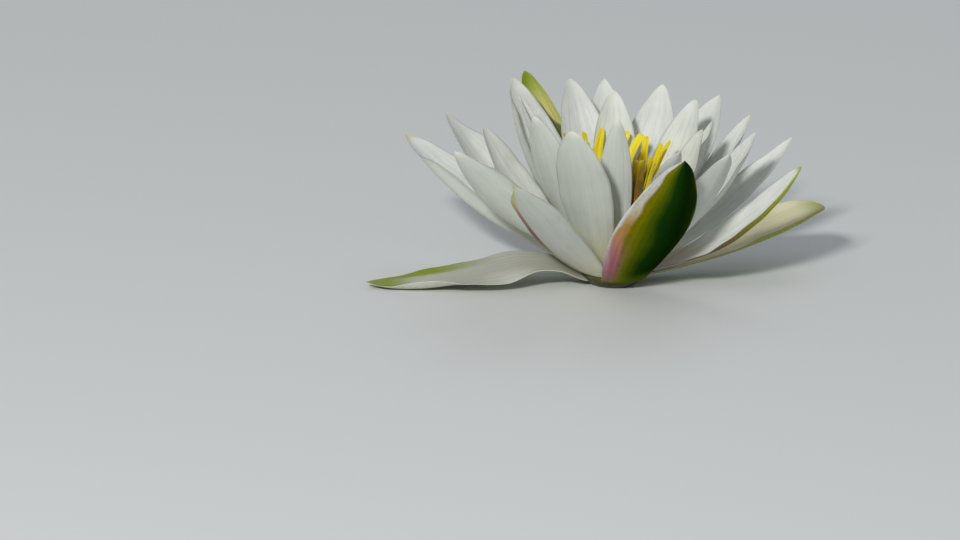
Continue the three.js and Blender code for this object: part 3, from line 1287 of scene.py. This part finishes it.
@dataclass
class Petals:
    """The petals, each over its own plain solid.

    Attributes:
        count: How many there are.
        usual: The shape of most of them.
        special: What a petal changes of that shape, by its number.
        white: The finish of most of them.
        finishes: The finishes of the others, by their numbers.
    """

    count: int = 25
    usual: BladeShape = BladeShape()
    special: dict[int, dict[str, object]] = field(
        default_factory=lambda: {
            1: {
                "tip_round": 1.0, "nib": 0.0, "wave": 0.012,
                "widths": ((0, 1, 1.7), (0.15, 1, 1.6), (0.38, 1, 1.2), (0.55, 1, 0.97), (0.78, 1, 0.76),
                           (0.92, 0.75, 0.4), (1, 0.4, 0.3)),
            },
            2: {"turns": (Turn(Side.RIGHT, 60, 0.19, 0.3, 1.0, 0.7),), "tip_round": 0.7},
            3: {"turns": (Turn(Side.LEFT, 40, 0.4, 0.25, 0.9),), "tip_round": 0.85},
            5: {
                "turns": (Turn(Side.LEFT, 78, 0.3, 0.06, 0.92, 0.8),), "tip_round": 0.85,
                "widths": ((0, 1.4, 1), (0.6, 1.38, 1), (0.85, 1.1, 1), (1, 1, 1)),
            },
            6: {"turns": (Turn(Side.LEFT, 72, 0.25, 0.05, 0.9, 0.8),), "widths": both_wider(1.28, 1.0)},
            7: {"tip_round": 0.85},
            8: {"turns": (Turn(Side.RIGHT, 50, 0.35, 0.2, 0.95),), "tip_round": 0.85},
            9: {"tip_round": 0.8},
            10: {
                "turns": (Turn(Side.LEFT, 75, 0.35, 0.1, 0.98, 0.8),),
                "widths": ((0, 1, 1), (0.25, 1.22, 1.24), (1, 1.22, 1.24)),
            },
            11: {
                "turns": (Turn(Side.RIGHT, 38, 0.6, 0.15, 0.92, 0.85),), "tip_round": 0.8,
                "widths": ((0, 0.95, 0.95), (0.25, 1.35, 1.2), (1, 1.35, 1.2)),
            },
            12: {"twist": -17.0, "widths": both_wider(1.05, 0.95), "tip_round": 0.8},
            13: {"tip_round": 0.62},
            14: {"tip_round": 0.85, "nib": 0.0, "turns": (Turn(Side.RIGHT, -30, 0.5, 0.1, 0.95, 0.85),)},
            15: {"turns": (Turn(Side.RIGHT, 45, 0.3, 0.15, 0.95),), "tip_round": 0.85},
            16: {"tip_round": 0.85, "nib": 0.5},
            17: {"tip_round": 0.62},
            18: {"tip_round": 0.62},
            19: {"widths": both_wider(0.85, 0.7), "turns": (Turn(Side.LEFT, 50, 0.5, 0.1, 1.0),)},
            21: {"turns": (Turn(Side.RIGHT, 60, 0.5, 0.45, 0.95),)},
            22: {"tip_round": 0.65},
            23: {"tip_round": 0.55},
            24: {"tip_round": 0.62, "widths": both_wider(0.86, 1.0)},
            25: {"tip_round": 0.66},
        }
    )
    white: PetalFinish = PetalFinish("petal_white")
    finishes: dict[int, PetalFinish] = field(
        default_factory=lambda: {
            1: PetalFinish(
                "petal_yellow_margin", tip="c9c95a", tip_start=0.94, rim_back=0.26,
                rim=((0.0, "c4b4a4"), (0.22, "94705c"), (0.45, "805a48"), (0.62, "a08458"),
                     (0.78, "c4bc80"), (1.0, "c6ca5e")),
            ),
            2: PetalFinish(
                "petal_green_margin", base="dcc6ba", tip="a6b03c", tip_start=0.945, rim_reach=0.13,
                rim_back=0.2,
                rim=((0.0, "cfc6a8"), (0.25, "5a4428"), (0.45, "6a5620"), (0.62, "7c7a1e"),
                     (0.8, "98a028"), (1.0, "a8b430")),
            ),
            5: PetalFinish("petal_cream_tip", tip="d4d298", tip_start=0.94),
            # Petal 14 has paler faces than the others: painted light, lifting it out of the shade it
            # stands in.
            14: PetalFinish("petal_painted_light", face="f4f5f4", back="f2f3f4", vein="c6ccd2"),
        }
    )

    def build(self, effects: Effects) -> None:
        """Builds every petal.

        Args:
            effects: The shared node groups.
        """
        white = self.white.material(effects)
        materials = {number: finish.material(effects) for number, finish in self.finishes.items()}
        for number in range(1, self.count + 1):
            shape = replace(self.usual, seed=number, **self.special.get(number, {}))
            cover(f"petal_{number:02d}", shape, materials.get(number, white), Slot.PETAL)


@dataclass
class Sepals:
    """The four sepals, each with its own colours.

    Attributes:
        usual: The shape that they start from.
        special: What each changes of that shape, by its node.
        finishes: The finish of each, by its node.
    """

    usual: BladeShape = BladeShape(
        steps=84, strips=40, thickness=0.9 * MM, tip_round=0.55, ribs=9.0, keel=1.8
    )
    special: dict[str, dict[str, object]] = field(
        default_factory=lambda: {
            "sepal_left": {
                "seed": 31, "wave": 0.03, "tip_round": 0.85, "arch": 0.024,
                "turns": (
                    Turn(Side.LEFT, 50, 0.4, 0.55, 0.98),
                    Turn(Side.LEFT, -34, 0.5, 0.2, 0.55, 0.2),
                ),
            },
            "sepal_front": {
                "seed": 32, "tip_round": 0.9, "keel": 1.7, "wave": 0.0, "nib": 0.1, "sink": -0.012,
                "widths": ((0, 1, 1.12), (0.3, 1, 1.24), (0.5, 0.95, 1.18), (0.7, 0.86, 1.06),
                           (0.85, 0.78, 1), (1, 0.75, 1)),
            },
            "sepal_right": {
                "seed": 33, "tip_round": 0.38, "wave": 0.015,
                "widths": ((0, 0.7, 0.92), (0.4, 0.85, 0.92), (0.7, 1, 0.95), (0.9, 1.1, 1.05),
                           (1, 1.2, 1.2)),
                "turns": (Turn(Side.RIGHT, 55, 0.1, 0.45, 1.0), Turn(Side.LEFT, 40, 0.2, 0.45, 1.0)),
            },
            "sepal_back": {
                "seed": 34, "wave": 0.015,
                "turns": (Turn(Side.LEFT, 100, 0.45, 0.5, 0.75), Turn(Side.RIGHT, 45, 0.3, 0.1, 1.0)),
            },
        }
    )
    finishes: dict[str, SepalFinish] = field(
        default_factory=lambda: {
            # The left sepal's inner face is grey, not cream like the others: painted shade, as it lies
            # low and flat and takes little light.
            "sepal_left": SepalFinish(
                "sepal_left_shaded_skin", face="bfc0b8", vein="aaa888", rim="86961c", base="b8b8ae",
                left_rim=-0.4, right_rim=0.34, rim_start=0.44, tip_start=0.85,
                back=((0.0, "dcdcd2"), (0.22, "d2d2c2"), (0.32, "7d8a24"), (0.5, "3c5a14"),
                      (0.85, "4d6a18"), (1.0, "8f9a2c")),
            ),
            # The front sepal's outer face runs from near black green on its right to olive, pink and a
            # pale margin on its left: its own colours, with the darkest greens on the right partly
            # painted shade.
            "sepal_front": SepalFinish(
                "sepal_front_skin", back_vein="16300a", specular=0.0, skew=-0.05, blush_share=0.92,
                back=((0.0, "5a5426"), (0.04, "1c320c"), (0.25, "0c2606"), (0.56, "14380a"),
                      (0.68, "4c5e0a"), (0.77, "727408"), (0.86, "80720a"), (0.93, "c8c2b4"),
                      (0.985, "d6d8d8")),
                band=((0.0, "a06676"), (0.2, "b47a70"), (0.36, "bc8862"), (0.5, "b08a40"),
                      (0.66, "c4c0b0"), (1.0, "ced2d0")),
            ),
            # The right sepal's grey root colour is painted shade, where the petal above shades it.
            "sepal_right": SepalFinish(
                "sepal_right_skin", face="dcd7b8", rim="8f9c34", base="a9aaa6", left_rim=-0.22,
                right_rim=0.0, tip_start=0.985,
                back=((0.0, "9aa238"), (0.12, "6f8424"), (0.4, "3c5a14"), (0.75, "4a6a18"),
                      (0.9, "8f9a2c"), (1.0, "a2a83c")),
            ),
            "sepal_back": SepalFinish(
                "sepal_back_skin", face="cdca78", vein="a3a04c", rim="8a9c22", left_rim=0.36,
                right_rim=-0.12, rim_start=0.1, tip_start=0.92, fold_shade="4a5222",
            ),
        }
    )

    def build(self, effects: Effects) -> None:
        """Builds every sepal.

        Args:
            effects: The shared node groups.
        """
        for node, changes in self.special.items():
            shape = replace(self.usual, **changes)
            cover(node, shape, self.finishes[node].material(effects), Slot.SEPAL)


@dataclass
class Receptacle:
    """The receptacle that carries everything, with its stalk trimmed flush.

    Attributes:
        node: Its plain solid.
        sectors: Steps round it.
        floor_rings: Rings in the trimmed face.
        floor_span: The first and the last of them, as shares of its radius.
        side_rings: Rings up the side.
        top_rings: Rings in the top face.
        top_span: The first and the last of them, as shares of its radius.
        scar_height: How far the petal scars stand out.
        scars_round: How many scars there are round it.
        scar_slant: How fast their rows wind round it upwards, in radians per metre.
        scar_pitch: How closely they follow upwards, likewise.
        scar_start: How high up they begin.
        scar_full: How high up they stand out fully.
        canals: Wide air canals in the trimmed face.
        canal_radius: Their radius.
        canal_wall: Where their walls begin to rise, as a share of that.
        canal_ring: How far from the middle they lie.
        canal_depth: How deep they are.
        bottom: Height where the bottom's colour ends.
        top: Height where the top's colour begins.
    """

    node: str = "receptacle"
    sectors: int = 144
    floor_rings: int = 40
    floor_span: tuple[float, float] = (0.02, 0.985)
    side_rings: int = 60
    top_rings: int = 8
    top_span: tuple[float, float] = (0.9, 0.06)
    scar_height: float = 0.12 * MM
    scars_round: int = 13
    scar_slant: float = 2.1 / MM
    scar_pitch: float = 2.6 / MM
    scar_start: float = 0.5 * MM
    scar_full: float = 3 * MM
    canals: int = 4
    canal_radius: float = 1.15 * MM
    canal_wall: float = 0.8
    canal_ring: float = 2.3 * MM
    canal_depth: float = 0.9 * MM
    bottom: float = 1 * MM
    top: float = 16 * MM

    @cached_property
    def profile(self) -> tuple[np.ndarray, np.ndarray]:
        """The plain solid's outline, from the bottom up.

        Returns:
            The heights of its corners, rising, and the radius at each.
        """
        corners = np.array([vertex.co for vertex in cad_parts[self.node].data.vertices])
        heights = np.unique(np.round(corners[:, 2], 6))
        reach = np.hypot(corners[:, 0], corners[:, 1])
        radii = np.array([reach[np.abs(corners[:, 2] - height) < 2 * WELD].max() for height in heights])
        return heights, radii

    def radius_at(self, height: float) -> float:
        """The radius of the side at a height."""
        heights, radii = self.profile
        return float(np.interp(height, heights, radii))

    def outline(self) -> tuple[np.ndarray, np.ndarray, np.ndarray, np.ndarray]:
        """The outline from the middle of the trimmed face to the middle of the top.

        Returns:
            The radius and height of each ring, whether it lies in the trimmed face, and whether it
            lies on the side.
        """
        heights, radii = self.profile
        side_z = np.linspace(heights[0], heights[-1], self.side_rings)
        side_r = curve_through(heights, radii, side_z)
        floor_r = side_r[0] * np.linspace(*self.floor_span, self.floor_rings)
        top_r = side_r[-1] * np.linspace(*self.top_span, self.top_rings)
        floor_z = np.full(self.floor_rings, heights[0])
        top_z = np.full(self.top_rings, heights[-1])
        face = np.repeat([0, 1, 2], [self.floor_rings, self.side_rings, self.top_rings])
        radius = np.concatenate([floor_r, side_r, top_r])
        height = np.concatenate([floor_z, side_z, top_z])
        return radius, height, (face == 0).astype(float), (face == 1).astype(float)

    def build(self, effects: Effects) -> None:
        """Builds the receptacle.

        Args:
            effects: The shared node groups.
        """
        radius, height, on_floor, on_side = self.outline()
        z = height[:, None]
        angle = np.linspace(0, FULL_TURN, self.sectors, endpoint=False)[None]
        scars = np.sin(angle * self.scars_round + z * self.scar_slant) * np.sin(z * self.scar_pitch)
        scarred = (on_side * smooth(height, self.scar_start, self.scar_full))[:, None]
        r = radius[:, None] + self.scar_height * scars * scarred
        x, y = r * np.cos(angle), r * np.sin(angle)
        for i in range(self.canals):
            turn = FULL_TURN * (i + 0.5) / self.canals
            away = np.hypot(x - self.canal_ring * math.cos(turn), y - self.canal_ring * math.sin(turn))
            dent = 1 - smooth(away, self.canal_radius * self.canal_wall, self.canal_radius)
            z = z + self.canal_depth * dent * on_floor[:, None]
        mesh = turned_mesh("receptacle_fine", np.stack([x, y, z], axis=-1), on_floor)
        # Dark olive at the bottom rising to pale green-yellow at the top: the plant's own green, darkened
        # low down as painted shade under the sepals.
        finish = FleshFinish(
            "receptacle_shaded_skin", low="3a3c18", high="b9b36a", patch="4f561e",
            bottom=self.bottom, top=self.top,
        )
        add_piece(mesh, finish.material(effects), Slot.RECEPTACLE, self.node)


@dataclass
class StigmaDisc:
    """The shallow rayed bowl on the ovary, with a knob in its middle.

    Attributes:
        node: Its plain solid.
        underside: Its outline's points up to the rim's outermost part, as shares of the radius and
            the height.
        bowl: The outline's points from there to the knob, likewise.
        rays: Stigma rays round it.
        ray_height: How far they stand up.
        ray_valley: How much of that lies below the bowl, between them.
        ray_span: Where they come, are full, begin to go and are gone, as shares of the radius.
        ray_relief: How far they stand out at the rim, as a share of the radius.
        rim_span: Where that comes and is full, likewise.
        rings: Rings along the outline.
        plain_rings: How many of those, from the bottom, have no rays.
        sectors: Steps round it.
    """

    node: str = "stigma_disc"
    underside: tuple[tuple[float, float], ...] = (
        (0.06, 0.0), (0.5, 0.0), (0.74, 0.02), (0.9, 0.25), (0.97, 0.6),
    )
    bowl: tuple[tuple[float, float], ...] = (
        (0.95, 0.9), (0.9, 0.97), (0.8, 0.84), (0.6, 0.56), (0.42, 0.46), (0.3, 0.5), (0.22, 0.7),
        (0.14, 0.82), (0.04, 0.86),
    )
    rays: int = 14
    ray_height: float = 0.35 * MM
    ray_valley: float = 0.6
    ray_span: tuple[float, float, float, float] = (0.3, 0.6, 0.84, 0.97)
    ray_relief: float = 0.07
    rim_span: tuple[float, float] = (0.5, 0.95)
    rings: int = 90
    plain_rings: int = 35
    sectors: int = 168

    def build(self, effects: Effects) -> None:
        """Builds the disc.

        Args:
            effects: The shared node groups.
        """
        low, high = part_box(self.node)
        radius = (high.x - low.x) / 2
        outline = np.array(self.underside + self.bowl)
        fine = curve_through(np.linspace(0, 1, len(outline)), outline, np.linspace(0, 1, self.rings))
        angle = np.linspace(0, FULL_TURN, self.sectors, endpoint=False)[None]
        wave = 0.5 + 0.5 * np.cos(self.rays * angle)
        r = fine[:, :1] * radius
        z = low.z + fine[:, 1:] * (high.z - low.z)
        share = r / radius
        r = r * (1 - self.ray_relief * smooth(share, *self.rim_span) * (1 - wave))
        on_top = (np.arange(self.rings) >= self.plain_rings)[:, None]
        rays = self.ray_height * on_top * (wave - self.ray_valley) * hump(share, *self.ray_span)
        z = np.clip(z + rays, low.z, high.z)
        grid = np.stack([r * np.cos(angle), r * np.sin(angle), z], axis=-1)
        mesh = turned_mesh("stigma_disc_fine", grid, np.zeros(self.rings))
        finish = FleshFinish(
            "stigma_skin", low="c9a030", high="e2bd3c", patch="b58a28", bottom=low.z, top=high.z
        )
        add_piece(mesh, finish.material(effects), Slot.STIGMA, self.node)


@dataclass(frozen=True)
class StamenRing:
    """A ring of further stamens between those of the construction.

    Attributes:
        name: The ring's name.
        count: How many stamens it has.
        start: Azimuth of the first, in degrees.
        height: Where they are attached.
        rise: Slope at the root, in degrees.
        bend: How much steeper the tip is, in degrees.
        length: Their length.
        width: Their width.
        front_steeper: How much steeper they stand at the front, in degrees.
        stray: How far the azimuth and the slope stray either way, in degrees.
        bend_stray: How far the bend does, in degrees.
        lengths: The least and greatest factor on the length.
        widths: The least and greatest factor on the width.
        taper: Each station's width, as a share of the full one.
        hollow: How far the margins stand up, as a share of the half width.
    """

    name: str
    count: int
    start: float
    height: float
    rise: float
    bend: float
    length: float
    width: float
    front_steeper: float = 11.0
    stray: float = 4.0
    bend_stray: float = 8.0
    lengths: tuple[float, float] = (0.92, 1.05)
    widths: tuple[float, float] = (0.9, 1.1)
    taper: tuple[float, ...] = (0.8, 0.9, 0.97, 1.0, 1.0, 0.97, 0.9, 0.75, 0.0)
    hollow: float = 0.25

    def spines(self, radius: float) -> list[Spine]:
        """The stations of every stamen in the ring, no two quite alike.

        Args:
            radius: How far from the axis their roots are.

        Returns:
            One set of stations for each stamen.
        """
        rng = np.random.default_rng(len(self.name) + self.count)
        spines = []
        for i in range(self.count):
            azimuth = self.start + 360 * i / self.count + rng.uniform(-self.stray, self.stray)
            rise = self.rise + rng.uniform(-self.stray, self.stray)
            bend = self.bend + rng.uniform(-self.bend_stray, self.bend_stray)
            length = self.length * rng.uniform(*self.lengths)
            width = self.width * rng.uniform(*self.widths)
            spines.append(self.spine(math.radians(azimuth), radius, rise, bend, length, width))
        return spines

    def spine(
        self, azimuth: float, radius: float, rise: float, bend: float, length: float, width: float
    ) -> Spine:
        """One stamen's stations.

        Args:
            azimuth: The way it points, in radians.
            radius: How far from the axis its root is.
            rise: Slope at its root, in degrees.
            bend: How much steeper its tip is, in degrees.
            length: Its length.
            width: Its width.

        Returns:
            Its stations.
        """
        count = len(self.taper)
        share = np.linspace(0, 1, count)
        steeper = self.front_steeper * max(0.0, -math.sin(azimuth))
        slope = np.radians(rise + steeper + bend * share)
        outward = np.array([math.cos(azimuth), math.sin(azimuth), 0.0])
        steps = np.cos(slope)[:, None] * outward + np.sin(slope)[:, None] * UP
        middle = (steps[1:] + steps[:-1]) / 2 * length / (count - 1)
        root = outward * radius + UP * self.height
        place = root + np.vstack([np.zeros(3), np.cumsum(middle, axis=0)])
        across = np.tile([-math.sin(azimuth), math.cos(azimuth), 0.0], (count, 1))
        half = width / 2 * np.array(self.taper)
        bow = np.cross(steps, across) * (self.hollow * half)[:, None]
        return Spine(share=share, place=place, across=across, bow=bow, half_width=half)


@dataclass
class Stamens:
    """The stamens: those of the construction, and the rings that stand between them.

    Attributes:
        count: How many the construction has.
        outer: How many of those are in its outer ring.
        front: Those whose outer face is seen from the front; their finish carries painted shade almost up
            to the tip.
        shape: Their shape.
        special: What a stamen changes of that shape, by its number.
        ring_steps: Rings of points along each stamen of the further rings.
        ring_strips: Strips across each of its faces.
        rings: The further rings.
    """

    count: int = 29
    outer: int = 15
    front: tuple[int, ...] = (11, 12, 13, 14)
    shape: BladeShape = BladeShape(
        steps=34, strips=12, tip_round=0.2, nib=0.0, thickness=0.5 * MM, keel=2.0, ribs=0.0,
        rib_height=0.0, wave=0.04, anther=0.16 * MM, sink=0.03, nod=-0.04, bulge=0.03,
        widths=((0, 1, 1), (0.6, 1, 1), (0.85, 1.15, 1.15), (1, 1.5, 1.5)),
    )
    special: dict[int, dict[str, object]] = field(
        default_factory=lambda: {
            1: {"nod": 0.05, "bulge": 0.11, "twist": 32.0},
            2: {"reach": 0.95, "nod": -0.01, "bulge": 0.07, "bow": 0.02},
            3: {
                "reach": 0.96, "sway": 0.117, "nod": -0.02, "bow": 0.05,
                "widths": ((0, 0.85, 0.85), (0.6, 0.85, 0.85), (1, 1.4, 1.4)),
            },
            4: {"reach": 0.925, "sway": -0.06, "bulge": 0.09, "bow": 0.045},
            5: {"reach": 0.97, "sway": -0.2},
            6: {
                "reach": 0.95, "sway": -0.185, "bulge": 0.05, "bow": -0.01,
                "widths": both_wider(1.15, 1.15),
            },
            7: {"reach": 0.97, "nod": -0.06, "sway": -0.177, "bulge": 0.08},
            8: {"nod": 0.01, "widths": both_wider(1.3, 1.3)},
            11: {"reach": 0.8},
            13: {"reach": 0.84},
            14: {"reach": 0.87, "sway": -0.05},
            15: {"reach": 0.85, "nod": -0.04},
            16: {"reach": 0.85},
            17: {"reach": 0.86},
            18: {"reach": 0.95, "sway": -0.13, "widths": both_wider(0.5, 0.5)},
            20: {"reach": 0.72},
            25: {"reach": 0.88},
            28: {"reach": 0.99},
            29: {"reach": 0.93},
        }
    )
    ring_steps: int = 26
    ring_strips: int = 10
    rings: tuple[StamenRing, ...] = (
        StamenRing(
            "stamens_between", count=15, start=9.0, height=13.6 * MM, rise=74.0, bend=30.0,
            length=19.0 * MM, width=2.1 * MM,
        ),
        StamenRing(
            "stamens_inner", count=13, start=20.0, height=15.6 * MM, rise=76.0, bend=58.0,
            length=15.0 * MM, width=1.8 * MM,
        ),
        StamenRing(
            "stamens_innermost", count=11, start=3.0, height=16.4 * MM, rise=72.0, bend=92.0,
            length=12.0 * MM, width=1.6 * MM,
        ),
    )

    def build(self, effects: Effects, receptacle: Receptacle) -> None:
        """Builds the stamens.

        Args:
            effects: The shared node groups.
            receptacle: What carries them.
        """
        # The inner stamens' finish, also used for the further rings, is a darker copy, and the front
        # stamens' one runs brown up to the tip: both are painted shade, for stamens that stand in shadow.
        bright = StamenFinish("stamen_outer_skin").material(effects)
        golden = StamenFinish("stamen_inner_shaded", blade="dcc414", shade="74600a", turn=0.85)
        golden = golden.material(effects)
        amber_shaded = StamenFinish("stamen_front_shaded", shade="7a5606", turn=1.0).material(effects)
        for number in range(1, self.count + 1):
            shape = replace(self.shape, seed=STAMEN_SEED + number, **self.special.get(number, {}))
            skin = amber_shaded if number in self.front else bright if number <= self.outer else golden
            cover(f"stamen_{number:02d}", shape, skin, Slot.STAMEN)
        for ring in self.rings:
            self.build_ring(ring, receptacle, golden)

    def build_ring(self, ring: StamenRing, receptacle: Receptacle, material: bpy.types.Material) -> None:
        """Builds one of the further rings, as one piece.

        Args:
            ring: The ring.
            receptacle: What carries it.
            material: Its finish.
        """
        work = bmesh.new()
        for i, spine in enumerate(ring.spines(receptacle.radius_at(ring.height))):
            shape = replace(
                self.shape, seed=RING_SEED + i, steps=self.ring_steps, strips=self.ring_strips
            )
            work.from_mesh(FineBlade(spine, shape).mesh(f"{ring.name}_{i}"))
        mesh = bpy.data.meshes.new(ring.name)
        work.to_mesh(mesh)
        work.free()
        mesh.polygons.foreach_set("use_smooth", [True] * len(mesh.polygons))
        add_piece(mesh, material, Slot.STAMEN)


# ---- The studio ----


@dataclass(frozen=True)
class Panel:
    """A square light.

    Attributes:
        name: Its name.
        place: Where it stands.
        size: Its side.
        power: Its power, in watts.
        colour: Its colour.
    """

    name: str
    place: tuple[float, float, float]
    size: float
    power: float
    colour: str


@dataclass
class Studio:
    """The floor, the lights and the camera.

    Attributes:
        floor_size: The floor's side.
        floor_colour: Colour of the floor.
        floor_grain: How fine its grain is, in grains to the metre.
        grain_share: How strong the grain is.
        air_colour: Colour of the light from all round.
        air_strength: How strong that is.
        panels: A small key light in front, a little to the left, and a wide weak light behind.
        aim: What they are aimed at.
        distance: From the camera to the flower's base.
        lens: Focal length, in millimetres.
        elevation: The camera's height angle, in degrees.
        roll: How far the camera is turned about its own line, in degrees.
        flower_right: How far right of the view's middle the flower's base stands.
        flower_down: How far below the middle it stands.
    """

    floor_size: float = 14.0
    floor_colour: str = "e2e4e4"
    floor_grain: float = 900.0
    grain_share: float = 0.04
    air_colour: str = "e6e9ec"
    air_strength: float = 0.33
    panels: tuple[Panel, ...] = (
        Panel("key_light", (-0.5, -1.6, 1.02), size=0.2, power=23.5, colour="fefefa"),
        Panel("back_light", (0.5, 1.9, 1.5), size=1.2, power=8.5, colour="eef3ff"),
    )
    aim: tuple[float, float, float] = (0.0, 0.0, 0.02)
    distance: float = 2.16
    lens: float = 300.0
    elevation: float = 16.0
    roll: float = 2.4
    flower_right: float = 0.0354
    flower_down: float = 0.0032

    def build(self) -> None:
        """Builds the camera, the floor and the lights."""
        self.add_camera()
        self.add_floor()
        self.add_air()
        for panel in self.panels:
            self.add_panel(panel)
        bpy.context.scene.view_settings.view_transform = "Standard"
        log.info("built the studio")

    def add_camera(self) -> None:
        """Points the camera at the flower from in front and a little above."""
        tilt = math.radians(self.elevation)
        turn = math.radians(self.roll)
        back = Vector((0, -math.cos(tilt), math.sin(tilt)))
        level = Vector((1, 0, 0))
        upright = Vector((0, math.sin(tilt), math.cos(tilt)))
        right = math.cos(turn) * level + math.sin(turn) * upright
        up = -math.sin(turn) * level + math.cos(turn) * upright
        data = bpy.data.cameras.new("camera")
        data.lens = self.lens
        camera = bpy.data.objects.new("camera", data)
        bpy.context.scene.collection.objects.link(camera)
        camera.matrix_world = Matrix((right, up, back)).transposed().to_4x4()
        camera.location = back * self.distance - right * self.flower_right + up * self.flower_down
        bpy.context.scene.camera = camera

    def add_floor(self) -> None:
        """Lays a plain pale floor with a very faint grain."""
        bpy.ops.mesh.primitive_plane_add(size=self.floor_size, location=(0, 0, 0))
        floor = bpy.context.object
        floor.name = "floor"
        surface = Surface("floor_paint", roughness=0.9)
        inputs = {"Vector": surface.place, "Scale": self.floor_grain, "Detail": 2.0}
        grain = surface.wire("ShaderNodeTexNoise", inputs)
        colour = surface.blend(grain * self.grain_share, self.floor_colour, "ffffff")
        surface.feed(surface.shader.inputs["Base Color"], colour)
        floor.data.materials.append(surface.material)

    def add_air(self) -> None:
        """Lets an even pale light come from all round."""
        world = bpy.data.worlds.new("studio_air")
        world.use_nodes = True
        air = world.node_tree.nodes["Background"]
        air.inputs["Color"].default_value = paint(self.air_colour)
        air.inputs["Strength"].default_value = self.air_strength
        bpy.context.scene.world = world

    def add_panel(self, panel: Panel) -> None:
        """Sets up one light, aimed at the flower.

        Args:
            panel: The light.
        """
        data = bpy.data.lights.new(panel.name, "AREA")
        data.size = panel.size
        data.energy = panel.power
        data.color = paint(panel.colour)[:3]
        light = bpy.data.objects.new(panel.name, data)
        bpy.context.scene.collection.objects.link(light)
        light.location = panel.place
        light.rotation_mode = "QUATERNION"
        light.rotation_quaternion = (Vector(self.aim) - light.location).to_track_quat("-Z", "Y")


def main() -> None:
    """Builds the flower and the studio."""
    logging.basicConfig(level=logging.INFO, format="%(name)s: %(message)s")
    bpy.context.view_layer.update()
    Studio().build()
    effects = Effects()
    receptacle = Receptacle()
    receptacle.build(effects)
    StigmaDisc().build(effects)
    Sepals().build(effects)
    Petals().build(effects)
    Stamens().build(effects, receptacle)


if __name__ == "__main__":
    main()
